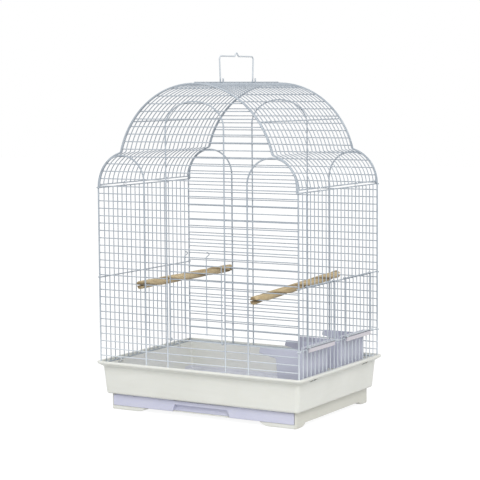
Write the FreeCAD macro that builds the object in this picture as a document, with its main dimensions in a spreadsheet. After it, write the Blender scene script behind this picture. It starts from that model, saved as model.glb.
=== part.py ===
import FreeCAD, Part
import math
import os
import re
from types import SimpleNamespace

import Sketcher

# A free-standing wire cage with a three-lobed roof on a moulded tray.
# X runs along the front, Y from the front to the back, Z up from the floor.
# The origin is the centre of the footprint at floor level.
# Heights whose name ends in rise are measured up from the tray's rim.

os.makedirs("parts", exist_ok=True)

SIZES = [
    # wire
    ("bar_wire", 2.0, "diameter of the grille bars and hoops"),
    ("rail_wire", 2.4, "diameter of the long rails that join the bars"),
    ("frame_wire", 3.2, "diameter of the outline wires and side arches"),
    ("arch_wire", 2.8, "diameter of the centre arches"),
    ("clip_wire", 1.8, "diameter of the small spring clips"),
    ("clip_bend", 1.4, "centre line radius where a clip turns"),
    ("grip_wire", 3.0, "diameter of the carrying handle"),
    ("weld_sink", 0.04, "depth that welded wires press into each other"),
    ("wire_play", 0.4, "gap between a moving wire eye and the wire in it"),
    ("wire_bend", 5.0, "centre line radius where a wire turns sharply"),
    # wire body
    ("cage_width", 450.0, "between the post centres, left to right"),
    ("cage_depth", 330.0, "between the front and the back panel"),
    ("eave_rise", 346.0, "top rail of the side walls"),
    ("roof_rail_gap", 6.0, "lowest roof rail above the wall's top rail"),
    ("notch_half", 170.5, "half width where shoulder and dome meet"),
    ("notch_rise", 415.5, "height where shoulder and dome meet"),
    ("ridge_rise", 549.0, "top of the dome"),
    ("dome_rail_half", 141.5, "half width at the upper pair of roof rails"),
    ("crown_half", 62.0, "half width of a hoop's crown length"),
    ("row_pitch", 14.7, "between the level bars of front and back"),
    ("first_row_rise", 11.1, "lowest level bar"),
    ("bar_pitch", 15.5, "between the upright bars of the sides"),
    ("side_leg_half", 116.0, "inner legs of the side arches"),
    ("arch_drop", 5.5, "top of a side arch below the notch"),
    ("centre_leg_half", 65.5, "legs of the centre arches"),
    ("centre_spring_rise", 465.0, "where the centre arches start to bend"),
    ("centre_top_rise", 515.0, "top of the centre arches"),
    ("mid_rail_rise", 168.2, "rail half way up the side walls"),
    # tray
    ("rim_height", 98.0, "top of the tray's rim above the floor"),
    ("lip_reach", 9.4, "rim edge outside the post centres"),
    ("lip_edge", 4.0, "upright edge of the rim"),
    ("lip_slope", 7.0, "sloping underside of the rim"),
    ("lip_corner", 14.0, "corner radius of the rim in plan"),
    ("lip_round", 1.6, "rounding of the rim's edge"),
    ("seat_depth", 6.0, "ledge for the wires below the rim's top"),
    ("seat_gap", 0.5, "between the outline wires and the rim"),
    ("seat_width", 7.0, "ledge inside the post centres"),
    ("tray_wall", 2.8, "wall of the tray"),
    ("wall_step_top", 1.5, "tray wall inside the post centres, at the rim"),
    ("wall_step_low", 6.0, "tray wall inside the post centres, at the shelf"),
    ("wall_corner", 8.0, "corner radius of the tray wall"),
    ("wall_round", 4.0, "rounding of the tray wall's lower edge"),
    ("shelf_level", 32.0, "underside of the shelf over the drawer"),
    ("shelf_thickness", 2.5, "shelf over the drawer"),
    ("shelf_reach", 4.0, "shelf inside the skirt"),
    ("skirt_step", 15.0, "skirt inside the post centres"),
    ("skirt_corner", 3.6, "corner radius of the skirt"),
    ("skirt_level", 7.0, "lower edge of the skirt"),
    ("runner_width", 14.0, "flange that carries the drawer"),
    ("runner_thickness", 2.5, "flange that carries the drawer"),
    ("bridge_height", 1.2, "skirt left above the drawer opening"),
    ("foot_length", 80.0, "feet along the front, at the skirt"),
    ("foot_width", 40.0, "feet from front to back"),
    ("foot_taper", 17.0, "feet shorter at the floor than at the skirt"),
    ("slot_length", 20.0, "clip slots under the rim"),
    ("slot_height", 3.0, "clip slots under the rim"),
    ("slot_drop", 2.0, "tray left between ledge and clip slot"),
    # drawer
    ("drawer_half", 206.0, "half width of the drawer's front"),
    ("drawer_gap", 1.0, "drawer to tray at the sides and above"),
    ("drawer_play", 0.3, "drawer above its runners"),
    ("drawer_proud", 1.5, "drawer front outside the skirt"),
    ("drawer_front", 3.0, "thickness of the drawer's front"),
    ("face_round", 1.2, "rounding of the drawer's front"),
    ("drawer_wall", 2.2, "wall and floor of the drawer"),
    ("drawer_headroom", 2.3, "drawer's edge below the shelf"),
    ("drawer_back_gap", 2.7, "drawer to the skirt's back wall"),
    ("drawer_skirt_gap", 1.3, "drawer front above the skirt's lower edge"),
    ("pull_half", 66.0, "half width of the finger pull at its mouth"),
    ("pull_narrowing", 6.0, "finger pull narrower at its top"),
    ("pull_lip", 7.0, "drawer front left above the finger pull"),
    ("pull_depth", 7.0, "depth of the finger pull"),
    # front door
    ("door_half", 58.0, "half width between the door's side wires"),
    ("door_stay_half", 24.6, "half width between the latching wires"),
    ("latch_reach", 15.0, "how far a latch reaches into the cage"),
    ("latch_height", 10.0, "height of a latch"),
    # feeder openings, cups and doors
    ("feeder_rail_rise", 51.0, "rail that carries the feeder cups"),
    ("cup_side_play", 1.25, "cup to the bars beside it"),
    ("cup_wall", 2.0, "wall of a cup"),
    ("cup_round", 1.6, "rounding of a cup's outer edges"),
    ("cup_inset", 5.5, "cup inside the edge of the ledge"),
    ("cup_floor_rise", -10.0, "underside of a cup"),
    ("cup_depth", 57.5, "trough from the wall inwards, at the top"),
    ("cup_draft", 4.0, "trough narrower at its floor"),
    ("cup_neck_rise", 29.0, "where a cup's wings leave its trough"),
    ("wing_reach", 37.0, "wings of a cup's ends beyond the trough"),
    ("wing_low_rise", 37.0, "lower edge of a wing's tip"),
    ("wing_top_rise", 48.0, "upper edge of a cup's ends"),
    ("wing_lean", 3.0, "slope of a wing's tip"),
    ("hook_play", 0.3, "cup's hook above its rail"),
    ("hook_drop", 6.5, "cup's hook down the outside"),
    ("door_rest_gap", 0.3, "feeder door above the cup's hook"),
    # perches
    ("perch_dowel", 16.0, "diameter of the perches"),
    ("perch_overhang", 5.0, "perch past the panel's outline wires"),
    ("perch_slot_height", 3.6, "slot that grips a level bar"),
    ("perch_slot_depth", 15.0, "slot that grips a level bar"),
    ("left_perch_clear", 0.4, "left perch outside the leg of the left side arch"),
    ("right_perch_clear", 5.4, "right perch outside the leg of the right side arch"),
    # handle
    ("handle_height", 51.0, "handle above its pivot"),
    ("handle_flare", 3.0, "handle wider at the top, each side"),
    ("handle_bend", 6.0, "corner radius of the handle"),
    ("handle_tip", 8.0, "free end of the handle's hooks"),
    ("hanger_half", 7.0, "half width of the hanging peak"),
    ("hanger_height", 8.0, "height of the hanging peak"),
    # finish
    ("cut_overrun", 1.0, "how far a cut runs past the faces it opens"),
]

ROWS_UNDER_DOOR = 3
ROWS_IN_DOOR = 10
BARS_IN_FEEDER_DOOR = 6
HANDLE_BAYS = 4
# A foot from its root to the floor: level, share of the taper, share drawn in outside.
FOOT_SHARES = (
    ("skirt_level + cut_overrun", 0, 0),
    ("skirt_level", 0, 0),
    ("skirt_level * 0.4", 0.35, 0),
    ("skirt_level * 0.1", 0.75, 0.05),
    ("0", 1, 0.15),
)
CLIP_BAYS = 7
LEFT_PERCH_ROWS = (10, 10)
RIGHT_PERCH_ROWS = (9, 10)

doc = FreeCAD.newDocument("cage")
sheet = doc.addObject("Spreadsheet::Sheet", "Sizes")
for line, (alias, amount, meaning) in enumerate(SIZES, start=1):
    sheet.set("A" + str(line), alias)
    sheet.set("B" + str(line), str(amount))
    sheet.set("C" + str(line), meaning)
    sheet.setAlias("B" + str(line), alias)
doc.recompute()
mm = SimpleNamespace(**{alias: float(sheet.get(alias)) for alias, _, _ in SIZES})

X_AXIS = FreeCAD.Vector(1, 0, 0)
Y_AXIS = FreeCAD.Vector(0, 1, 0)
Z_AXIS = FreeCAD.Vector(0, 0, 1)

bar_r = mm.bar_wire / 2
rail_r = mm.rail_wire / 2
frame_r = mm.frame_wire / 2
arch_r = mm.arch_wire / 2
clip_r = mm.clip_wire / 2
grip_r = mm.grip_wire / 2

half_width = mm.cage_width / 2
half_depth = mm.cage_depth / 2
rim = mm.rim_height
eave = rim + mm.eave_rise
seat_level = rim - mm.seat_depth

# Level bars lie inside the outline wires of the front and back panels.
row_plane = half_depth - (frame_r + bar_r - mm.weld_sink)
arch_plane = row_plane + (arch_r + bar_r - mm.weld_sink)
# Rails pass just inside the posts and carry the upright bars on their outer side.
rail_plane = half_width - (frame_r + rail_r + mm.weld_sink)
bar_plane = rail_plane + (rail_r + bar_r - mm.weld_sink)
# Doors move in a plane one running eye away from the bars that guide them.
eye_radius = 2 * bar_r + mm.wire_play


# Names of the sheet in a formula become references to its cells.
def formula(text):
    def refer(word):
        known = hasattr(mm, word.group(0))
        return "Sizes." + word.group(0) if known else word.group(0)
    return re.sub(r"[a-z_]+", refer, text)


def point(x, y, z):
    return FreeCAD.Vector(x, y, z)


def origin_plane(body, role):
    return next(item for item in body.Origin.OriginFeatures if item.Role == role)


def new_body(name):
    body = doc.addObject("PartDesign::Body", name)
    body.Label = name
    return body


def new_sketch(body, name, role, offset):
    sketch = body.newObject("Sketcher::SketchObject", name)
    sketch.AttachmentSupport = (origin_plane(body, role), [""])
    sketch.MapMode = "FlatFace"
    sketch.setExpression("AttachmentOffset.Base.z", formula(offset))
    return sketch


# A rounded rectangle between four sides, all given as formulas.
def plan_sketch(body, name, level, low_x, high_x, low_y, high_y, corner):
    sketch = new_sketch(body, name, "XY_Plane", level)
    sides = [formula(text) for text in (low_x, high_x, low_y, high_y, corner)]
    x0, x1, y0, y1, radius = (float(sheet.evalExpression(text)) for text in sides)
    corners = [(x1, y0, -1, 1), (x1, y1, -1, -1), (x0, y1, 1, -1), (x0, y0, 1, 1)]
    starts = [(x0 + radius, y0), (x1, y0 + radius), (x1 - radius, y1), (x0, y1 - radius)]
    ends = [(x1 - radius, y0), (x1, y1 - radius), (x0 + radius, y1), (x0, y0 + radius)]
    for side, (start, end) in enumerate(zip(starts, ends)):
        sketch.addGeometry(Part.LineSegment(point(*start, 0), point(*end, 0)))
    for turn, (x, y, to_x, to_y) in enumerate(corners):
        middle = point(x + to_x * radius, y + to_y * radius, 0)
        circle = Part.Circle(middle, Z_AXIS, radius)
        first = math.radians(90 * turn - 90)
        sketch.addGeometry(Part.ArcOfCircle(circle, first, first + math.pi / 2))
    for side in range(4):
        arc = 4 + side
        sketch.addConstraint(Sketcher.Constraint("Tangent", side, 2, arc, 1))
        sketch.addConstraint(Sketcher.Constraint("Tangent", arc, 2, (side + 1) % 4, 1))
        level_side = "Horizontal" if side % 2 == 0 else "Vertical"
        sketch.addConstraint(Sketcher.Constraint(level_side, side))
    for arc in (5, 6, 7):
        sketch.addConstraint(Sketcher.Constraint("Equal", 4, arc))
    holds = [("Radius", (4,), radius), ("DistanceX", (3, 1), x0), ("DistanceX", (1, 1), x1),
             ("DistanceY", (0, 1), y0), ("DistanceY", (2, 1), y1)]
    for (kind, where, amount), text in zip(holds, (sides[4], *sides[:4])):
        held = sketch.addConstraint(Sketcher.Constraint(kind, *where, amount))
        sketch.setExpression("Constraints[" + str(held) + "]", text)
    return sketch


# Draws a closed outline through corners given as pairs of formulas.
def draw_outline(sketch, corners):
    texts = [(formula(across), formula(up)) for across, up in corners]
    spots = [tuple(float(sheet.evalExpression(text)) for text in pair) for pair in texts]
    first = sketch.GeometryCount
    for start, end in zip(spots, spots[1:] + spots[:1]):
        sketch.addGeometry(Part.LineSegment(point(*start, 0), point(*end, 0)))
    for count, (pair, spot) in enumerate(zip(texts, spots)):
        side = first + count
        following = first + (count + 1) % len(spots)
        sketch.addConstraint(Sketcher.Constraint("Coincident", side, 2, following, 1))
        for kind, text, amount in zip(("DistanceX", "DistanceY"), pair, spot):
            held = sketch.addConstraint(Sketcher.Constraint(kind, side, 1, amount))
            sketch.setExpression("Constraints[" + str(held) + "]", text)


def outline_sketch(body, name, role, offset, corners):
    sketch = new_sketch(body, name, role, offset)
    draw_outline(sketch, corners)
    return sketch


# A pad or pocket whose length is a formula; the volume shows that it did its work.
def extrude(body, kind, name, sketch, length):
    doc.recompute()
    before = body.Shape.Volume if body.Tip else 0
    feature = body.newObject("PartDesign::" + kind, name)
    feature.Profile = sketch
    feature.setExpression("Length", formula(length))
    doc.recompute()
    grew = body.Shape.Volume - before
    if (grew if kind == "Pad" else -grew) <= 0:
        raise RuntimeError(name + " changes nothing")
    return feature


def loft(body, kind, name, low_sketch, high_sketch):
    feature = body.newObject("PartDesign::" + kind, name)
    feature.Profile = low_sketch
    feature.Sections = [high_sketch]
    feature.Ruled = True
    doc.recompute()
    return feature


# Both sides of a size that lies evenly about the middle.
def both(text):
    return "-(" + text + ")", text


def rod(start, end, diameter):
    return Part.makeCylinder(diameter / 2, start.distanceToPoint(end), start, end - start)


def segment(start, end):
    return Part.LineSegment(start, end).toShape()


def arc_through(start, middle, end):
    return Part.Arc(start, middle, end).toShape()


# A round wire along edges that follow one another smoothly.
def bent_wire(edges, diameter):
    path = Part.Wire(edges)
    first = path.OrderedEdges[0]
    start = path.OrderedVertexes[0].Point
    begin, finish = first.ParameterRange
    at_begin = first.valueAt(begin).distanceToPoint(start) < first.valueAt(finish).distanceToPoint(start)
    heading = first.tangentAt(begin if at_begin else finish)
    ring = Part.Wire(Part.Circle(start, heading, diameter / 2).toShape())
    return path.makePipeShell([ring], True, False)


# Straight runs through the points, joined by tangent arcs: one radius for each corner.
def rounded_path(points, radii):
    edges = []
    last = points[0]
    for before, corner, after, radius in zip(points, points[1:], points[2:], radii):
        into = (corner - before).normalize()
        out = (after - corner).normalize()
        turn = into.getAngle(out)
        reach = radius * math.tan(turn / 2)
        start = corner - into * reach
        end = corner + out * reach
        inward = (out - into).normalize()
        middle = corner + inward * (radius / math.cos(turn / 2) - radius)
        edges.append(segment(last, start))
        edges.append(arc_through(start, middle, end))
        last = end
    edges.append(segment(last, points[-1]))
    return edges


# An arc round a centre, in the plane of the unit vectors u and v, in degrees from u.
def turn_about(centre, radius, u, v, begin, end):
    def spot(angle):
        turned = math.radians(angle)
        return centre + u * (radius * math.cos(turned)) + v * (radius * math.sin(turned))
    return arc_through(spot(begin), spot((begin + end) / 2), spot(end))


def add_wires(name, solids):
    piece = doc.addObject("Part::Feature", name)
    piece.Label = name
    piece.Shape = Part.makeCompound(solids) if len(solids) > 1 else solids[0]
    piece.Placement = FreeCAD.Placement()
    return piece


# The three-lobed outline: a shoulder arc upright at the eave, a round dome, and a
# small opposite bend at the notch between them.
def shoulder():
    inset = half_width - mm.notch_half
    climb = mm.notch_rise - mm.eave_rise
    radius = (inset ** 2 + climb ** 2) / (2 * inset)
    return half_width - radius, eave, radius


def dome():
    climb = mm.ridge_rise - mm.notch_rise
    radius = (mm.notch_half ** 2 + climb ** 2) / (2 * climb)
    return 0.0, rim + mm.ridge_rise - radius, radius


def notch():
    x1, z1, r1 = shoulder()
    x2, z2, r2 = dome()
    reach1 = r1 + mm.wire_bend
    reach2 = r2 + mm.wire_bend
    gap = math.hypot(x1 - x2, z1 - z2)
    along = (reach2 ** 2 - reach1 ** 2 + gap ** 2) / (2 * gap)
    across = math.sqrt(reach2 ** 2 - along ** 2)
    ux = (x1 - x2) / gap
    uz = (z1 - z2) / gap
    return x2 + ux * along - uz * across, z2 + uz * along + ux * across


# Half width of the outline at a height.
def half_width_at(height):
    x1, z1, r1 = shoulder()
    x2, z2, r2 = dome()
    if height <= eave:
        return half_width
    if height <= rim + mm.notch_rise:
        return x1 + math.sqrt(max(r1 ** 2 - (height - z1) ** 2, 0))
    return x2 + math.sqrt(max(r2 ** 2 - (height - z2) ** 2, 0))


# The outline in one upright plane, from the right eave over to the left one. Its dome
# is cut at the given angles, and each length is a list of edges.
def roof_lengths(y, start_height, cuts):
    x1, z1, r1 = shoulder()
    x2, z2, r2 = dome()
    nx, nz = notch()
    first = math.asin((start_height - z1) / r1)
    to_notch = math.atan2(nz - z1, nx - x1)
    from_dome = math.atan2(nz - z2, nx - x2)
    to_shoulder = math.atan2(z1 - nz, x1 - nx)
    to_dome = math.atan2(z2 - nz, x2 - nx)

    def bow(x, z, radius, begin, end, side):
        return arc_through(*(point(side * (x + radius * math.cos(angle)), y, z + radius * math.sin(angle))
                             for angle in (begin, (begin + end) / 2, end)))

    def lobe(side):
        return [bow(x1, z1, r1, first, to_notch, side), bow(nx, nz, mm.wire_bend, to_shoulder, to_dome, side)]

    stops = [from_dome, *cuts, math.pi - from_dome]
    lengths = [[bow(x2, z2, r2, begin, end, 1)] for begin, end in zip(stops, stops[1:])]
    lengths[0] = lobe(1) + lengths[0]
    lengths[-1] = lengths[-1] + lobe(-1)[::-1]
    return lengths


def row_height(row):
    return rim + mm.first_row_rise + mm.row_pitch * row


def row_count():
    top = rim + mm.ridge_rise - mm.bar_wire * 2
    return int((top - row_height(0)) / mm.row_pitch) + 1


# Places of the upright side bars and the hoops, even about the middle.
def bar_places():
    end = row_plane - bar_r - mm.bar_pitch / 2
    count = int((end - mm.bar_pitch / 2) / mm.bar_pitch) + 1
    return [mm.bar_pitch * (step + 0.5) for step in range(count)]


# Middle of a feeder opening, which spans whole bays of the side wall.
def feeder_middle():
    return mm.bar_pitch * (1.5 + (BARS_IN_FEEDER_DOOR + 1) / 2)


def in_feeder_opening(place):
    reach = mm.bar_pitch * (BARS_IN_FEEDER_DOOR / 2)
    return abs(abs(place) - feeder_middle()) < reach


# Front and back panels: outline, bottom bar, two side arches, a centre arch and rows.
def wire_panel(name, side, has_door):
    frame_y = side * half_depth
    arch_y = side * arch_plane
    row_y = side * row_plane
    low = seat_level + frame_r
    right_leg = [segment(point(half_width, frame_y, seat_level), point(half_width, frame_y, eave))]
    left_leg = [segment(point(-half_width, frame_y, eave), point(-half_width, frame_y, seat_level))]
    outline = roof_lengths(frame_y, eave, [])[0]
    wires = [bent_wire(right_leg + outline + left_leg, mm.frame_wire)]
    inner = half_width - frame_r + mm.weld_sink
    wires.append(rod(point(-inner, frame_y, low), point(inner, frame_y, low), mm.frame_wire))

    leg_foot = low + frame_r - mm.weld_sink
    outer = half_width - 2 * frame_r
    span = (outer - mm.side_leg_half) / 2
    spring = rim + mm.notch_rise - mm.arch_drop - span
    for hand in (-1, 1):
        middle = point(hand * (outer + mm.side_leg_half) / 2, frame_y, spring)
        leg = segment(point(hand * mm.side_leg_half, frame_y, leg_foot),
                      point(hand * mm.side_leg_half, frame_y, spring))
        top = turn_about(middle, span, X_AXIS * -hand, Z_AXIS, 0, 180)
        tail = segment(point(hand * outer, frame_y, spring),
                       point(hand * outer, frame_y, eave + rail_r - mm.weld_sink))
        wires.append(bent_wire([leg, top, tail], mm.frame_wire))

    centre_spring = rim + mm.centre_spring_rise
    ellipse = Part.Ellipse(point(0, arch_y, centre_spring), mm.centre_leg_half,
                           mm.centre_top_rise - mm.centre_spring_rise)
    ellipse.rotate(FreeCAD.Placement(point(0, arch_y, centre_spring), FreeCAD.Rotation(X_AXIS, 90)))
    top = Part.ArcOfEllipse(ellipse, 0, math.pi).toShape()
    legs = [segment(point(hand * mm.centre_leg_half, arch_y, leg_foot),
                    point(hand * mm.centre_leg_half, arch_y, centre_spring)) for hand in (1, -1)]
    wires.append(bent_wire([legs[0], top, legs[1]], mm.arch_wire))

    for row in range(row_count()):
        height = row_height(row)
        reach = half_width_at(height)
        opened = has_door and ROWS_UNDER_DOOR < row <= ROWS_UNDER_DOOR + ROWS_IN_DOOR
        if not opened:
            wires.append(rod(point(-reach, row_y, height), point(reach, row_y, height), mm.bar_wire))
            continue
        for hand in (-1, 1):
            start = point(hand * mm.centre_leg_half, row_y, height)
            wires.append(rod(start, point(hand * reach, row_y, height), mm.bar_wire))
    return add_wires(name, wires)


# A rail of a side wall; its ends bend round the posts where it is hooked.
def side_rail(hand, height, hooked):
    x = hand * rail_plane
    if not hooked:
        reach = half_depth - frame_r - mm.wire_play
        return rod(point(x, -reach, height), point(x, reach, height), mm.rail_wire)
    curl = half_width - rail_plane
    edges = [segment(point(x, -half_depth, height), point(x, half_depth, height))]
    for side, order in ((-1, 0), (1, 1)):
        post = point(hand * half_width, side * half_depth, height)
        hook = turn_about(post, curl, X_AXIS * -hand, Y_AXIS * side, 0, 180)
        edges.insert(0 if order == 0 else len(edges), hook)
    return bent_wire(edges, mm.rail_wire)


def side_panel(name, hand, has_feeders):
    low = seat_level + rail_r
    top = eave + rail_r
    mid = rim + mm.mid_rail_rise
    feeder = rim + mm.feeder_rail_rise
    wires = [side_rail(hand, low, False), side_rail(hand, mid, True), side_rail(hand, eave, True)]
    if has_feeders:
        wires.append(side_rail(hand, feeder, True))
    for place in bar_places():
        for y in (-place, place):
            x = hand * bar_plane
            spans = [(seat_level, top)]
            if has_feeders and in_feeder_opening(y):
                spans = [(seat_level, feeder + rail_r), (mid - rail_r, top)]
            for start, end in spans:
                wires.append(rod(point(x, y, start), point(x, y, end), mm.bar_wire))
    return add_wires(name, wires)


# Straight rails under the hoops, and a ridge rail on top that carries the handle. A hoop
# is three lengths of wire, butt-welded: a side from each eave and a crown.
def roof_panel():
    start = eave + mm.roof_rail_gap
    end_place = row_plane - bar_r - mm.wire_play - bar_r
    places = bar_places() + [end_place]
    crown_end = math.acos(mm.crown_half / dome()[2])
    lengths = roof_lengths(0, start - rail_r, [crown_end, math.pi - crown_end])
    hoop = [bent_wire(edges, mm.bar_wire) for edges in lengths]
    wires = []
    for place in places:
        for y in (-place, place):
            for length in hoop:
                copy = length.copy()
                copy.translate(point(0, y, 0))
                wires.append(copy)
    reach = end_place + bar_r
    x1, z1, r1 = shoulder()
    x2, z2, r2 = dome()
    under = rail_r + bar_r - mm.weld_sink
    low_angle = math.asin((start - z1) / r1)
    high_angle = math.acos(mm.dome_rail_half / r2)
    for hand in (-1, 1):
        low = (hand * (x1 + (r1 - under) * math.cos(low_angle)), z1 + (r1 - under) * math.sin(low_angle))
        high = (hand * (r2 - under) * math.cos(high_angle), z2 + (r2 - under) * math.sin(high_angle))
        for x, z in (low, high):
            wires.append(rod(point(x, -reach, z), point(x, reach, z), mm.rail_wire))
    wires.append(rod(point(0, -reach, ridge_rail_height()), point(0, reach, ridge_rail_height()),
                     mm.rail_wire))
    return add_wires("roof_panel", wires)


def ridge_rail_height():
    return rim + mm.ridge_rise + bar_r + rail_r - mm.weld_sink


# The drop-down door: side wires whose feet curl round a level bar of the panel, two
# wires that end in inward latches above, and level bars at the panel's own pitch.
def front_door():
    door_plane = row_plane + eye_radius
    hinge = row_height(ROWS_UNDER_DOOR)
    top = row_height(ROWS_UNDER_DOOR + ROWS_IN_DOOR)
    lowest = row_height(ROWS_UNDER_DOOR + 1)
    wires = []
    for x in (-mm.door_half, mm.door_half):
        leg = segment(point(x, -door_plane, top + bar_r), point(x, -door_plane, hinge))
        eye = turn_about(point(x, -row_plane, hinge), eye_radius, Y_AXIS * -1, Z_AXIS * -1, 0, 290)
        wires.append(bent_wire([leg, eye], mm.bar_wire))
    catch = row_height(ROWS_UNDER_DOOR + ROWS_IN_DOOR + 1) + bar_r + mm.wire_play + bar_r
    for x in (-mm.door_stay_half, mm.door_stay_half):
        route = [point(x, -door_plane, lowest - bar_r), point(x, -door_plane, catch),
                 point(x, -door_plane + mm.latch_reach, catch + mm.latch_height / 2),
                 point(x, -door_plane + mm.bar_wire, catch + mm.latch_height - bar_r)]
        bends = [mm.bar_wire] * (len(route) - 2)
        wires.append(bent_wire(rounded_path(route, bends), mm.bar_wire))
    bar_y = -(door_plane - (2 * bar_r - mm.weld_sink))
    reach = mm.door_half + bar_r
    for row in range(ROWS_UNDER_DOOR + 1, ROWS_UNDER_DOOR + ROWS_IN_DOOR + 1):
        height = row_height(row)
        wires.append(rod(point(-reach, bar_y, height), point(reach, bar_y, height), mm.bar_wire))
    return add_wires("front_door", wires)


def hook_top():
    return rim + mm.feeder_rail_rise + rail_r + mm.hook_play + mm.cup_wall


# A lift door on the outside of the side wall. The top bar's ends curl round the
# opening's edge bars, which guide it; the lower bar's ends curl outwards.
def feeder_door(name, side):
    middle = side * feeder_middle()
    half = mm.bar_pitch * (BARS_IN_FEEDER_DOOR + 1) / 2
    x = bar_plane + eye_radius
    low = hook_top() + mm.door_rest_gap + bar_r
    high = rim + mm.mid_rail_rise + rail_r + mm.wire_play + bar_r
    top_bar = [segment(point(x, middle - half, high), point(x, middle + half, high))]
    low_bar = [segment(point(x, middle - half, low), point(x, middle + half, low))]
    for edge, order in ((-1, 0), (1, 1)):
        post = point(bar_plane, middle + edge * half, high)
        eye = turn_about(post, eye_radius, X_AXIS, Y_AXIS * edge, 0, 290)
        top_bar.insert(0 if order == 0 else len(top_bar), eye)
        outside = point(x + eye_radius, middle + edge * half, low)
        curl = turn_about(outside, eye_radius, X_AXIS * -1, Y_AXIS * edge, 0, 250)
        low_bar.insert(0 if order == 0 else len(low_bar), curl)
    wires = [bent_wire(top_bar, mm.bar_wire), bent_wire(low_bar, mm.bar_wire)]
    for step in range(BARS_IN_FEEDER_DOOR + 2):
        y = middle - half + mm.bar_pitch * step
        foot = low + bar_r - mm.weld_sink
        head = high - bar_r + mm.weld_sink
        wires.append(rod(point(x, y, foot), point(x, y, head), mm.bar_wire))
    return add_wires(name, wires)


# The carrying handle: two legs that hook under the ridge rail, and a bar with a
# small peak to hang the cage from.
def carry_handle():
    radius = rail_r + mm.wire_play + grip_r
    pivot = ridge_rail_height()
    half = mm.bar_pitch * HANDLE_BAYS
    wide = half + mm.handle_flare
    top = pivot + mm.handle_height
    x = -radius
    foot = point(x, -half, pivot)
    crown = [foot, point(x, -wide, top), point(x, -mm.hanger_half, top),
             point(x, 0, top + mm.hanger_height), point(x, mm.hanger_half, top),
             point(x, wide, top), point(x, half, pivot)]
    peak = [mm.grip_wire] * 3
    bail = rounded_path(crown, [mm.handle_bend, *peak, mm.handle_bend])
    wires = [bent_wire(bail, mm.grip_wire)]
    for side in (-1, 1):
        centre = point(0, side * half, pivot)
        hook = turn_about(centre, radius, X_AXIS * -1, Z_AXIS * -1, 0, 180)
        tip = segment(point(radius, side * half, pivot), point(radius, side * half, pivot + mm.handle_tip))
        wires.append(bent_wire([hook, tip], mm.grip_wire))
    joined = wires[0].fuse(wires[1:]).removeSplitter()
    return add_wires("carry_handle", joined.Solids)


# A spring clip round the wall's top rail and the roof's lowest rail.
def eave_clip(name, hand, side):
    upper = eave + mm.roof_rail_gap
    x = hand * rail_plane
    y = side * mm.bar_pitch * (CLIP_BAYS - 2)
    radius = rail_r + mm.wire_play + clip_r
    low_centre = point(x, y, eave)
    high_centre = point(x, y, upper)
    inner = segment(point(x - hand * radius, y, eave), point(x - hand * radius, y, upper))
    over = turn_about(high_centre, radius, X_AXIS * -hand, Z_AXIS, 0, 180)
    outer = segment(point(x + hand * radius, y, upper), point(x + hand * radius, y, eave))
    under = turn_about(low_centre, radius, X_AXIS * hand, Z_AXIS * -1, 0, 130)
    return add_wires(name, [bent_wire([inner, over, outer, under], mm.clip_wire)])


# A clip that passes through a slot of the tray and hooks over the wall's lowest rail.
def tray_clip(name, hand, side):
    y = side * mm.bar_pitch * CLIP_BAYS
    slot = seat_level - mm.slot_drop - mm.slot_height / 2
    over = seat_level + mm.rail_wire + mm.wire_play / 2 + clip_r
    inner = half_width - mm.seat_width - mm.wire_play - clip_r * 2
    outer = rail_plane + rail_r + mm.wire_play / 2 + clip_r
    route = [point(hand * (half_width + mm.cut_overrun), y, slot), point(hand * inner, y, slot),
             point(hand * inner, y, over), point(hand * outer, y, over),
             point(hand * outer, y, seat_level + mm.wire_play)]
    bends = [mm.clip_bend] * (len(route) - 2)
    return add_wires(name, [bent_wire(rounded_path(route, bends), mm.clip_wire)])


# Rounds the edges whose middle point passes a test, by a size that a wall may limit.
def round_edges(body, name, radius, chosen):
    base = body.Tip
    edges = base.Shape.Edges
    middles = [edge.valueAt(sum(edge.ParameterRange) / 2) for edge in edges]
    picked = ["Edge" + str(count + 1) for count, middle in enumerate(middles) if chosen(middle)]
    if not picked:
        raise RuntimeError(name + " finds no edge")
    feature = body.newObject("PartDesign::Fillet", name)
    feature.Base = (base, picked)
    feature.setExpression("Radius", formula(radius))
    doc.recompute()
    return feature


# Whether a point lies on the rim of a rectangle about the middle, at one level.
def on_rim(spot, level, half_x, half_y):
    slack = mm.cut_overrun / 2
    beside = abs(spot.x) > half_x - slack or abs(spot.y) > half_y - slack
    in_corner = abs(spot.x) > half_x - mm.lip_corner and abs(spot.y) > half_y - mm.lip_corner
    return abs(spot.z - level) < mm.weld_sink and (beside or in_corner)


# A foot at a corner of the skirt, which draws in towards the floor on its inner sides.
def foot(body, hand, side):
    name = "foot_" + ("right" if hand > 0 else "left") + ("_rear" if side > 0 else "_front")
    outer_x = "cage_width / 2 - skirt_step"
    outer_y = "cage_depth / 2 - skirt_step"
    plans = []
    for step, (level, inner_share, outer_share) in enumerate(FOOT_SHARES):
        inner = " + foot_taper * " + str(inner_share)
        outset = " - skirt_level * " + str(outer_share)
        near_x, far_x = outer_x + " - foot_length" + inner, outer_x + outset
        near_y, far_y = outer_y + " - foot_width" + inner, outer_y + outset
        sides_x = (near_x, far_x) if hand > 0 else ("-(" + far_x + ")", "-(" + near_x + ")")
        sides_y = (near_y, far_y) if side > 0 else ("-(" + far_y + ")", "-(" + near_y + ")")
        plans.append(plan_sketch(body, name + "_plan_" + str(step), level, *sides_x, *sides_y,
                                 "skirt_corner" + outset))
    feature = body.newObject("PartDesign::AdditiveLoft", name)
    feature.Profile = plans[0]
    feature.Sections = plans[1:]
    feature.Ruled = True
    doc.recompute()
    return feature


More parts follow.
